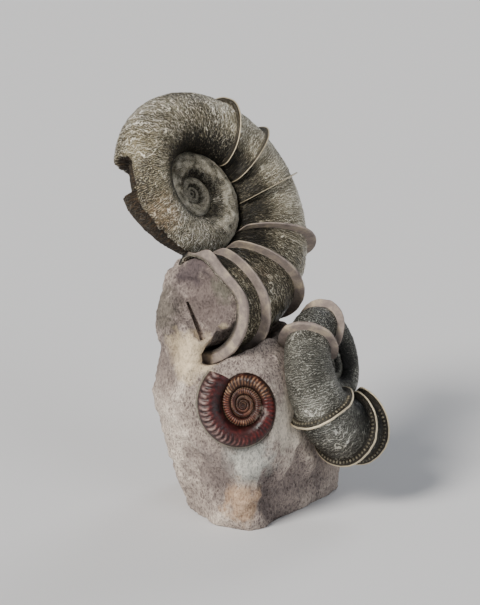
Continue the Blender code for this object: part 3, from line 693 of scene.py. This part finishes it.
def ribbed_height(turn, share, ribs, outermost):
    """Height of the whorls' faces, with their ribs and keel, over the shell's plane."""
    seam = ribbed_rim(turn - 1)
    width = ribbed_rim(turn) - seam
    inside = np.clip(share, 0, 1)
    rim_height = WHORL_STEP * width * (1 - outermost)
    seam_height = WHORL_STEP * (seam - ribbed_rim(turn - 2))
    crown = WHORL_ARCH * width * (4 * inside * (1 - inside)) ** 0.6
    keel = np.exp(-((inside - 0.035) / 0.02) ** 2) - 0.8 * np.exp(-((inside - 0.09) / 0.025) ** 2)
    relief = (RIB_RELIEF * ribs + KEEL_RELIEF * keel * outermost) * width / RELIEF_WIDTH
    grain = 0.15 * MM * fractal_noise(turn * 40, share * 9, 0, 85, 3)
    height = rim_height * (1 - inside) + seam_height * inside + crown + relief + grain
    height = height - RIBBED_DEPTH / 2 * MM * rise(RIBBED_LAST - 0.05, RIBBED_LAST, turn)
    return np.where(share < 0, np.where(share < -0.1, -RIBBED_DEPTH * MM, -MM), height)


def ribbed_fields(turn, inside, wave, ribs, outermost):
    """Where the ribbed shell has ribs, keel, painted shade at its seam, grey, beads along its rim, and
    buff.
    """
    return {
        "rib": ribs,
        "keel": np.exp(-((inside - 0.03) / 0.035) ** 4) * rise(0.3, 0.5, turn),
        # Painted shade along the seam with the whorl inside.
        "seam": rise(0.7, 1.0, inside),
        "grey": rise(0.42, 0.62, turn) * (1 - rise(0.3, 0.6, inside)),
        "beads": (1 - outermost) * np.exp(-(inside / 0.12) ** 2) * wave,
        "buff": 0.55 * rise(0.3, 0.12, turn) * outermost + 0.35 * (1 - outermost),
    }


def ribbed_piece():
    """The small ribbed shell: whorls with curved ribs, and a keel along the outer edge."""
    steps = RIBS_PER_TURN * STEPS_PER_RIB
    turn = (RIBBED_LAST - np.arange(RIBBED_WHORLS * steps) / steps)[:, None]
    share = np.array(RIBBED_SHARES)[None, :]
    inside = np.clip(share, 0, 1)
    outermost = rise(RIBBED_LAST - 1.08, RIBBED_LAST - 1.0, turn)
    wave, ribs = rib_waves(turn, share, outermost)
    height = ribbed_height(turn, share, ribs, outermost)
    rim = ribbed_rim(turn)
    radius = rim - inside * (rim - ribbed_rim(turn - 1))
    radius = np.where(share < -0.1, 0.9 * rim, radius)

    centre, right, up, facing = ribbed_axes()
    slant = RIBBED_SLANT * inside * rise(RIBBED_LAST - 0.2, RIBBED_LAST, turn)
    angle = (TURN / 4 - TURN * (turn + slant))[..., None]
    points = centre + radius[..., None] * (np.cos(angle) * right + np.sin(angle) * up)
    points = points + height[..., None] * facing
    count, across, _ = points.shape
    vertices = np.vstack([points.reshape(-1, 3), centre + 0.4 * MM * facing])
    faces = grid_faces(count, across, False).tolist()
    for i in range(count - steps, count - 1):
        faces.append((i * across + across - 1, (i + 1) * across + across - 1, count * across))
    mesh = bpy.data.meshes.new("ribbed_ammonite_shell")
    mesh.from_pydata(vertices.tolist(), [], faces)
    for name, values in ribbed_fields(turn, inside, wave, ribs, outermost).items():
        set_field(mesh, name, np.append(np.broadcast_to(values, ribs.shape), 0))
    return finished_object(mesh)


def slot_cutter():
    """The narrow open slot in the stone of the mouth, as a solid."""
    facing = ribbed_axes()[3]
    top = vec(SLOT_TOP)
    bottom = vec(SLOT_BOTTOM)
    across = unit(np.cross(bottom - top, facing))
    vertices = []
    for depth in (-SLOT_DEPTH, SLOT_DEPTH):
        for end, width, sign in ((top, 0, 1), (top, 0, -1), (bottom, 1, -1), (bottom, 1, 1)):
            offset = sign * SLOT_WIDTHS[width] / 2 * MM * across + depth * MM * facing
            vertices.append((end + offset).tolist())
    faces = [(0, 1, 2, 3), (7, 6, 5, 4)]
    faces += [(i, (i + 1) % 4, (i + 1) % 4 + 4, i + 4) for i in range(4)]
    mesh = bpy.data.meshes.new("slot")
    mesh.from_pydata(vertices, [], faces)
    return finished_object(mesh)


def apply_modifiers(piece):
    graph = bpy.context.evaluated_depsgraph_get()
    piece.data = bpy.data.meshes.new_from_object(piece.evaluated_get(graph))
    piece.modifiers.clear()


def nearest_distances(places, solids):
    """How far each place is from the nearest of the solids."""
    trees = []
    for solid in solids:
        corners = [vertex.co for vertex in solid.data.vertices]
        faces = [face.vertices for face in solid.data.polygons]
        trees.append(BVHTree.FromPolygons(corners, faces))
    return np.array([min(tree.find_nearest(place)[3] for tree in trees) for place in places])


def even_out(places, edges, weight, times):
    """Moves each place toward the middle of its neighbours."""
    count = len(places)
    degree = np.bincount(edges.ravel(), minlength=count)[:, None]
    for _ in range(times):
        total = np.zeros_like(places)
        for axis in range(3):
            total[:, axis] = np.bincount(edges[:, 0], places[edges[:, 1], axis], count)
            total[:, axis] += np.bincount(edges[:, 1], places[edges[:, 0], axis], count)
        places = places + weight * (total / degree - places)
    return places


def near_line(places, start, end, radius):
    """1 on the line from start to end, fading out around it."""
    start = vec(start)
    line = vec(end) - start
    share = np.clip((places - start) @ line / (line @ line), 0, 1)
    away = np.linalg.norm(places - start - share[:, None] * line, axis=1) / (radius * MM)
    return np.exp(-away ** 2)


def fine_stone(solid):
    """A copy of the plain block with small even faces."""
    mesh = solid.data.copy()
    mesh.name = "matrix_rock"
    piece = placed("matrix_rock", mesh)
    weld = piece.modifiers.new("weld", "WELD")
    weld.merge_threshold = 0.00001
    fine = piece.modifiers.new("fine", "REMESH")
    fine.mode = "VOXEL"
    fine.voxel_size = STONE_STEP * MM
    apply_modifiers(piece)
    return piece


def cut_slot(piece):
    """Cuts the narrow slot into the stone."""
    cutter = slot_cutter()
    cut = piece.modifiers.new("slot", "BOOLEAN")
    cut.operation = "DIFFERENCE"
    cut.solver = "EXACT"
    cut.object = cutter
    apply_modifiers(piece)
    bpy.data.objects.remove(cutter)


def read_rows(items, name, width, kind=float):
    """The named numbers of all vertices or edges, one row for each."""
    values = np.zeros(width * len(items), dtype=kind)
    items.foreach_get(name, values)
    return values.reshape(-1, width)


def stone_relief(places):
    """How far the worked skin stands out in millimetres, and how much painted shade its hollows get."""
    x, y, z = (places / MM).T
    forms = sum(height * near_line(places, start, end, radius)
                for start, end, radius, height in STONE_FORMS)
    lumps = 1.8 * fractal_noise(x / 26, y / 26, z / 26, 3, 2) + forms
    flakes = 5.5 * (0.3 - np.abs(fractal_noise(x / 24, y / 24, z / 19, 11, 2)))
    chips = 1.5 * (0.3 - np.abs(noise(x / 7, y / 7, z / 6, 15)))
    grain = 0.5 * fractal_noise(x / 2.6, y / 2.6, z / 2.6, 21, 2)
    from_ribbed = np.linalg.norm((places - vec(RIBBED_CENTRE)) / MM, axis=1)
    calm = 1 - 0.85 * (1 - rise(*SMOOTH_MOAT, from_ribbed))
    deep = calm * (0.05 * flakes + 0.1 * chips + 0.12 * lumps) + 0.3 * grain
    return calm * (lumps + flakes + chips) + grain, np.clip(0.5 - deep, 0, 1)


def stone_piece(nodes):
    """The block of stone: the plain solid made fine, evened out and given its rough skin."""
    piece = fine_stone(nodes["matrix_stone"])
    mesh = piece.data
    places = read_rows(mesh.vertices, "co", 3)
    edges = read_rows(mesh.edges, "vertices", 2, int)
    solids = [nodes[name] for name in ("upper_lytoceras", "side_lytoceras", "ribbed_ammonite")]
    clear = nearest_distances(places, solids)
    open_skin = rise(1.0 * MM, 6 * MM, clear)[:, None]
    above_base = rise(0.5 * MM, 4 * MM, places[:, 2:])
    places = even_out(places, edges, 0.5 * open_skin * above_base, 14)
    join = near_line(places, *SMOOTH_JOIN)[:, None]
    places = even_out(places, edges, 0.7 * open_skin * join, 80)
    mesh.vertices.foreach_set("co", places.ravel())
    mesh.update()
    normals = read_rows(mesh.vertices, "normal", 3)
    normals[:, 2:] *= above_base
    lift, hollow_shade = stone_relief(places)
    lift = lift * open_skin[:, 0] * MM
    places = places + lift[:, None] * normals
    places[:, 2] = np.maximum(places[:, 2], 0)
    mesh.vertices.foreach_set("co", places.ravel())
    mesh.update()
    set_field(mesh, "hollow_shade", hollow_shade)
    cut_slot(piece)
    piece.data.shade_smooth()
    return piece


def colour(code):
    """Linear colour from the usual six-digit code."""
    parts = [int(code[i:i + 2], 16) / 255 for i in (0, 2, 4)]
    linear = [v / 12.92 if v <= 0.04045 else ((v + 0.055) / 1.055) ** 2.4 for v in parts]
    return (*linear, 1)


class Surface:
    """A material built up from procedural nodes."""

    def __init__(self, name, roughness):
        self.material = bpy.data.materials.new(name)
        self.material.use_nodes = True
        self.tree = self.material.node_tree
        self.shader = self.tree.nodes["Principled BSDF"]
        self.shader.inputs["Roughness"].default_value = roughness

    def node(self, kind, inputs=(), **settings):
        """Adds a node; inputs pairs each socket with a value or another node's output."""
        node = self.tree.nodes.new("ShaderNode" + kind)
        for key, value in settings.items():
            setattr(node, key, value)
        for key, value in dict(inputs).items():
            if isinstance(value, bpy.types.NodeSocket):
                self.tree.links.new(value, node.inputs[key])
            else:
                node.inputs[key].default_value = value
        return node

    def field(self, name):
        return self.node("Attribute", attribute_name=name).outputs["Fac"]

    def surface_place(self, along, across):
        """Coordinates on the shell, stretched along it and around it."""
        place = self.node("UVMap", uv_map="surface").outputs["UV"]
        return self.node("Mapping", {0: place, 3: (along, across, 1)}).outputs[0]

    def object_place(self):
        return self.node("TexCoord").outputs["Object"]

    def noise(self, place, scale, detail, roughness, distortion=0.0):
        inputs = {"Vector": place, "Scale": scale, "Detail": detail, "Roughness": roughness,
                  "Distortion": distortion}
        return self.node("TexNoise", inputs).outputs["Fac"]

    def spread(self, value, low, high, to_low=0.0, to_high=1.0):
        """The value spread from one range to another, and kept inside it."""
        inputs = {0: value, 1: low, 2: high, 3: to_low, 4: to_high}
        return self.node("MapRange", inputs).outputs[0]

    def maths(self, operation, first, second):
        return self.node("Math", {0: first, 1: second}, operation=operation).outputs[0]

    def vectors(self, operation, inputs):
        return self.node("VectorMath", inputs, operation=operation).outputs

    def plus(self, value, other, weight=1.0):
        """The value with a weighted share of the other added to it."""
        return self.maths("ADD", value, self.maths("MULTIPLY", other, weight))

    def blend(self, share, first, second):
        """A number between the first and the second."""
        return self.node("Mix", {0: share, 2: first, 3: second}).outputs[0]

    def mix(self, share, first, second):
        """A colour between the first and the second."""
        inputs = {0: share, 6: first, 7: second}
        return self.node("Mix", inputs, data_type="RGBA").outputs[2]

    def over(self, tint, name, other, strength=1.0):
        """The tint with another laid over it where the named field is."""
        return self.mix(self.maths("MULTIPLY", self.field(name), strength), tint, other)

    def ramp(self, value, stops):
        """Colour along a ramp; stops pairs each position with a colour code."""
        node = self.node("ValToRGB", {0: value})
        elements = node.color_ramp.elements
        elements.remove(elements[1])
        elements[0].position = stops[0][0]
        elements[0].color = colour(stops[0][1])
        for position, code in stops[1:]:
            elements.new(position).color = colour(code)
        return node.outputs[0]

    def near(self, centre, radius, strength, ragged=0.5):
        """The strength near a place on the object, fading out with a ragged edge."""
        place = self.object_place()
        away = self.vectors("DISTANCE", {0: place, 1: tuple(vec(centre))})["Value"]
        edge = self.noise(place, 90, 5, 0.6)
        edge = self.spread(edge, 0, 1, -ragged * radius * MM, ragged * radius * MM)
        away = self.maths("ADD", away, edge)
        return self.spread(away, radius * MM, 0.55 * radius * MM, 0.0, strength)

    def bump(self, height, distance, strength, under=None):
        inputs = {"Height": height, "Distance": distance * MM, "Strength": strength}
        if under is not None:
            inputs["Normal"] = under
        return self.node("Bump", inputs).outputs[0]

    def set(self, socket, value):
        self.tree.links.new(value, self.shader.inputs[socket])


def net_lines(look, place, scale, width, bend):
    """Thin crooked lines joined into a net, 1 on the lines and 0 between them."""
    inputs = {"Vector": place, "Scale": 1.3 * scale, "Detail": 2.0}
    wander = look.node("TexNoise", inputs).outputs["Color"]
    wander = look.vectors("SUBTRACT", {0: wander, 1: (0.5, 0.5, 0.5)})[0]
    wander = look.vectors("SCALE", {0: wander, 3: bend / scale})[0]
    moved = look.vectors("ADD", {0: place, 1: wander})[0]
    inputs = {"Vector": moved, "Scale": scale}
    cells = look.node("TexVoronoi", inputs, feature="DISTANCE_TO_EDGE")
    return look.spread(cells.outputs["Distance"], 0.35 * width, width, 1, 0)


def curled_lines(look, along, across, bend, curl, edge=0.68, crest=0.94):
    """Crinkled lines around the tube, 1 on the lines and 0 between them."""
    place = look.surface_place(along, across)
    inputs = {"Vector": place, "Scale": 0.314, "Distortion": bend, "Detail": 2.0,
              "Detail Scale": curl, "Detail Roughness": 0.6}
    stripes = look.node("TexWave", inputs, wave_type="BANDS", bands_direction="X")
    return look.spread(stripes.outputs["Fac"], edge, crest)


def shell_lines(look, fineness, cloud):
    """Light crinkled growth lines, curled on the old part and fine on the collared part."""
    along, across = fineness
    lines = curled_lines(look, 1.3 * along, 0.6 * across, 5.0, 1.3)
    worms = curled_lines(look, 1.0 * along, 1.7 * across, 13.0, 1.1)
    share = look.spread(look.noise(look.surface_place(0.1, 0.1), 1.0, 3, 0.6), 0.36, 0.54)
    broken = look.spread(look.noise(look.surface_place(0.6, 0.5), 1.0, 4, 0.7), 0.38, 0.58, 0.15, 1.0)
    net = look.maths("MULTIPLY", look.blend(share, lines, worms), broken)
    curls = curled_lines(look, 0.3 * along, 0.5 * across, 9.0, 1.8, 0.93, 0.99)
    net = look.maths("MAXIMUM", net, look.maths("MULTIPLY", curls, look.spread(cloud, 0.45, 0.6)))
    fine = curled_lines(look, 2.4 * along, 0.4 * across, 3.0, 1.4, 0.4, 1.0)
    fine = look.plus(look.maths("MULTIPLY", fine, 0.26), net, 0.54)
    return look.blend(look.field("young"), net, fine)


def shell_tone(look, net, grain, cloud):
    """How light the shell is: lines and crests, age, and painted shade at its seams and toward its
    mouth.
    """
    tone = look.plus(look.maths("MULTIPLY", look.field("crest"), 0.16), net, 0.7)
    tone = look.plus(tone, look.spread(grain, 0.3, 0.7, -0.1, 0.24))
    tone = look.plus(tone, look.spread(cloud, 0.3, 0.7, -0.06, 0.16))
    tone = look.plus(tone, look.spread(look.field("old"), 0.2, 0.8, 0.03, 0.4))
    # Painted shade at the seams.
    tone = look.plus(tone, look.field("seam"), -0.4)
    tone = look.plus(tone, look.field("young"), 0.1)
    # Painted shade toward the mouth.
    return look.plus(tone, look.field("mouthward"), -0.22)


def shell_surface(name, tones, stains_and_light, fineness):
    """Dark shell with light crinkled growth lines and pale collars."""
    look = Surface(name, 0.42)
    look.shader.inputs["Specular IOR Level"].default_value = 0.55
    look.shader.inputs["Metallic"].default_value = 0.4
    grain = look.noise(look.surface_place(1.5, 1.2), 1.6, 5, 0.75)
    cloud = look.noise(look.object_place(), 28, 4, 0.6)
    chalk = look.noise(look.object_place(), 70, 6, 0.7)
    net = shell_lines(look, fineness, cloud)
    tone = shell_tone(look, net, grain, cloud)
    tint = look.ramp(tone, tones)
    # Stains, painted light and painted shade laid over the tone.
    for centre, radius, code, strength in stains_and_light:
        stain_and_light = look.ramp(tone, ((0.0, "14110b"), (0.2, "3b3426"), (0.46, code), (0.8, "fbf2dc")))
        tint = look.mix(look.near(centre, radius, strength), tint, stain_and_light)
    worn = look.ramp(look.noise(look.surface_place(0.8, 0.12), 1.0, 6, 0.75),
                     ((0.34, "0b0806"), (0.5, "21170f"), (0.6, "4e3a26"), (0.76, "9c8b71")))
    tint = look.over(tint, "worn", worn, 0.9)
    band = look.ramp(chalk, ((0.3, "746964"), (0.5, "9b8e86"), (0.7, "cebea2")))
    tint = look.over(tint, "pale", band)
    # Painted shade on the flange faces of the thin collars.
    tint = look.over(tint, "flange", colour("2e281f"), 0.85)
    tint = look.over(tint, "rim", colour("c4b79c"))
    # Dark matrix fill in the mouth, with painted shade.
    tint = look.over(tint, "inside", look.ramp(chalk, ((0.3, "211d1a"), (0.7, "4d4641"))))
    look.set("Base Color", tint)
    dull = look.maths("MAXIMUM", look.field("worn"), look.field("inside"))
    dull = look.maths("MAXIMUM", look.field("pale"), dull)
    dull = look.plus(dull, look.field("young"), -0.12)
    look.set("Roughness", look.spread(look.plus(grain, dull), 0.2, 1.3, 0.24, 0.85))
    rock = look.bump(look.maths("MULTIPLY", chalk, look.field("inside")), 3.0, 1.0)
    low = look.bump(grain, 0.5, 0.6, rock)
    free = look.maths("SUBTRACT", 1.0, look.maths("MAXIMUM", look.field("pale"), look.field("rim")))
    look.set("Normal", look.bump(look.maths("MULTIPLY", net, free), 1.0, 1.0, low))
    return look.material


def stone_surface():
    """Limestone worked with an air pen: grey-beige with streaks, and painted shade in its hollows."""
    look = Surface("matrix_stone_worked", 0.9)
    place = look.object_place()
    flat = look.node("Mapping", {0: place, 2: (0.4, 0.5, 0.3), 3: (1, 1, 0.5)}).outputs[0]
    fine = look.noise(place, 700, 5, 0.75)
    patchy = look.noise(place, 30, 6, 0.65)
    marks = net_lines(look, flat, 430, 0.3, 1.6)
    pecks = look.noise(flat, 260, 5, 0.75, 1.0)
    value = look.spread(patchy, 0.3, 0.7, 0.35, 0.49)
    value = look.plus(value, look.spread(fine, 0.3, 0.7, -0.15, 0.15))
    value = look.plus(value, look.spread(pecks, 0.3, 0.7, -0.13, 0.15))
    value = look.plus(value, look.spread(marks, 0, 1, -0.08, 0.2))
    # Painted shade in the hollows.
    value = look.plus(value, look.spread(look.field("hollow_shade"), 0, 1, 0.24, -0.3))
    tint = look.ramp(value, ((0.0, "352c2c"), (0.3, "6b5f5b"), (0.55, "968981"), (0.8, "c5b6a8"),
                             (1.0, "efe3d2")))
    # Stains, with painted light and painted shade among them.
    for centre, radius, code, strength in STONE_STAINS_AND_LIGHT:
        dark = look.mix(0.55, colour(code), (0, 0, 0, 1))
        stain_and_light = look.mix(look.spread(value, 0.1, 0.9), dark, colour(code))
        tint = look.mix(look.near(centre, radius, strength, 0.9), tint, stain_and_light)
    look.set("Base Color", tint)
    rough = look.bump(fine, 0.6, 0.6)
    rough = look.bump(marks, 0.6, 0.6, rough)
    rough = look.bump(pecks, 1.6, 0.7, rough)
    look.set("Normal", look.bump(look.noise(place, 130, 5, 0.6), 2.4, 0.6, rough))
    return look.material


def ribbed_surface():
    """Glossy dark red-brown calcite, grey-lilac ribs on the last part of the outer whorl."""
    look = Surface("ribbed_shell_calcite", 0.35)
    look.shader.inputs["Specular IOR Level"].default_value = 0.35
    place = look.object_place()
    mottle = look.noise(place, 170, 6, 0.7, 0.6)
    cloud = look.noise(place, 60, 4, 0.6)
    value = look.plus(look.spread(mottle, 0.3, 0.7, -0.1, 0.45), look.field("rib"), 0.55)
    red = look.ramp(value, ((0.0, "100202"), (0.3, "3c0a09"), (0.6, "661512"), (0.95, "9c5a45")))
    brown = look.ramp(value, ((0.0, "140b07"), (0.35, "402417"), (0.65, "8c6c50"), (0.9, "d4bf9f")))
    tint = look.mix(look.spread(look.plus(cloud, look.field("buff")), 0.55, 1.0), red, brown)
    grey = look.ramp(value, ((0.0, "1c1011"), (0.35, "4c3a38"), (0.9, "a5958e")))
    tint = look.over(tint, "grey", grey, 0.8)
    # Painted shade in the seams between the whorls.
    tint = look.over(tint, "seam", colour("100604"), 0.6)
    edge = look.ramp(mottle, ((0.3, "57534a"), (0.7, "a39d8c")))
    tint = look.over(tint, "keel", edge, 0.85)
    beads = look.ramp(mottle, ((0.3, "7d5240"), (0.7, "d8c6ab")))
    tint = look.over(tint, "beads", beads, 0.8)
    # Painted highlight: a silvery glint on the second whorl.
    painted_glint = look.maths("MULTIPLY", look.near(*PAINTED_GLINT_SPOT, 0.4, 0.8), look.spread(mottle, 0.45, 0.6))
    tint = look.mix(painted_glint, tint, look.ramp(mottle, ((0.3, "6f625a"), (0.7, "d9d3c8"))))
    look.set("Base Color", tint)
    look.set("Roughness", look.spread(mottle, 0.3, 0.7, 0.26, 0.55))
    fine = look.bump(look.noise(place, 600, 5, 0.65), 0.3, 0.5)
    look.set("Normal", look.bump(mottle, 0.6, 0.5, fine))
    return look.material


def bead_surface():
    look = Surface("collar_bead_calcite", 0.4)
    tone = look.noise(look.object_place(), 300, 4, 0.6)
    look.set("Base Color", look.ramp(tone, ((0.3, "3d392f"), (0.5, "69624f"), (0.7, "9a917b"))))
    look.set("Normal", look.bump(tone, 0.3, 0.4))
    return look.material


def dress(piece, material, node_name):
    piece.data.materials.clear()
    piece.data.materials.append(material)
    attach(piece, "root")
    if node_name:
        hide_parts(node_name)


def camera():
    data = bpy.data.cameras.new("camera")
    data.lens = CAMERA_LENS
    data.sensor_width = 36
    data.clip_end = 150
    view = placed("camera", data)
    tilt = math.radians(CAMERA_ELEVATION)
    away = Vector((0, -math.cos(tilt), math.sin(tilt)))
    view.location = Vector(vec(CAMERA_TARGET)) + away * CAMERA_DISTANCE * MM
    view.rotation_euler = (-away).to_track_quat("-Z", "Y").to_euler()
    bpy.context.scene.camera = view


def light(name, place, power, width, tint):
    data = bpy.data.lights.new(name, "SUN")
    data.energy = power
    data.angle = width
    data.color = tint
    lamp = placed(name, data)
    lamp.location = place
    aim = Vector(LIGHT_TARGET) - Vector(place)
    lamp.rotation_euler = aim.to_track_quat("-Z", "Y").to_euler()


def studio():
    """A pale floor, soft light from the upper left, and weaker ones from the right and behind."""
    mesh = bpy.data.meshes.new("floor")
    corners = [(x * FLOOR_REACH, y * FLOOR_REACH, 0) for x, y in ((-1, -1), (1, -1), (1, 1), (-1, 1))]
    mesh.from_pydata(corners, [], [(0, 1, 2, 3)])
    floor = finished_object(mesh)
    surface = Surface("floor_paper", 0.9)
    surface.shader.inputs["Base Color"].default_value = FLOOR_COLOUR
    floor.data.materials.append(surface.material)
    for lamp in LIGHTS:
        light(*lamp)
    world = bpy.data.worlds.new("studio")
    world.use_nodes = True
    background = world.node_tree.nodes["Background"]
    background.inputs[0].default_value = WORLD_COLOUR
    background.inputs[1].default_value = WORLD_STRENGTH
    bpy.context.scene.world = world


def main():
    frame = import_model()
    camera()
    studio()

    dress(stone_piece(frame["nodes"]), stone_surface(), "matrix_stone")

    upper_coil = Coil(UPPER_COIL)
    upper = shell_piece("upper_lytoceras_shell", upper_coil, UPPER_SKIN, UPPER_COLLARS, upper_wear)
    upper_surface = shell_surface("upper_shell_lined", UPPER_TONES, UPPER_STAINS_AND_LIGHT, UPPER_FINENESS)
    dress(upper, upper_surface, "upper_lytoceras")

    side_coil = Coil(SIDE_COIL)
    side = shell_piece("side_lytoceras_shell", side_coil, SIDE_SKIN, SIDE_COLLARS, no_wear)
    side_surface = shell_surface("side_shell_lined", SIDE_TONES, SIDE_PAINTED_SHADE, SIDE_FINENESS)
    dress(side, side_surface, "side_lytoceras")
    dress(bead_rows(side_coil), bead_surface(), None)

    dress(ribbed_piece(), ribbed_surface(), "ribbed_ammonite")


main()
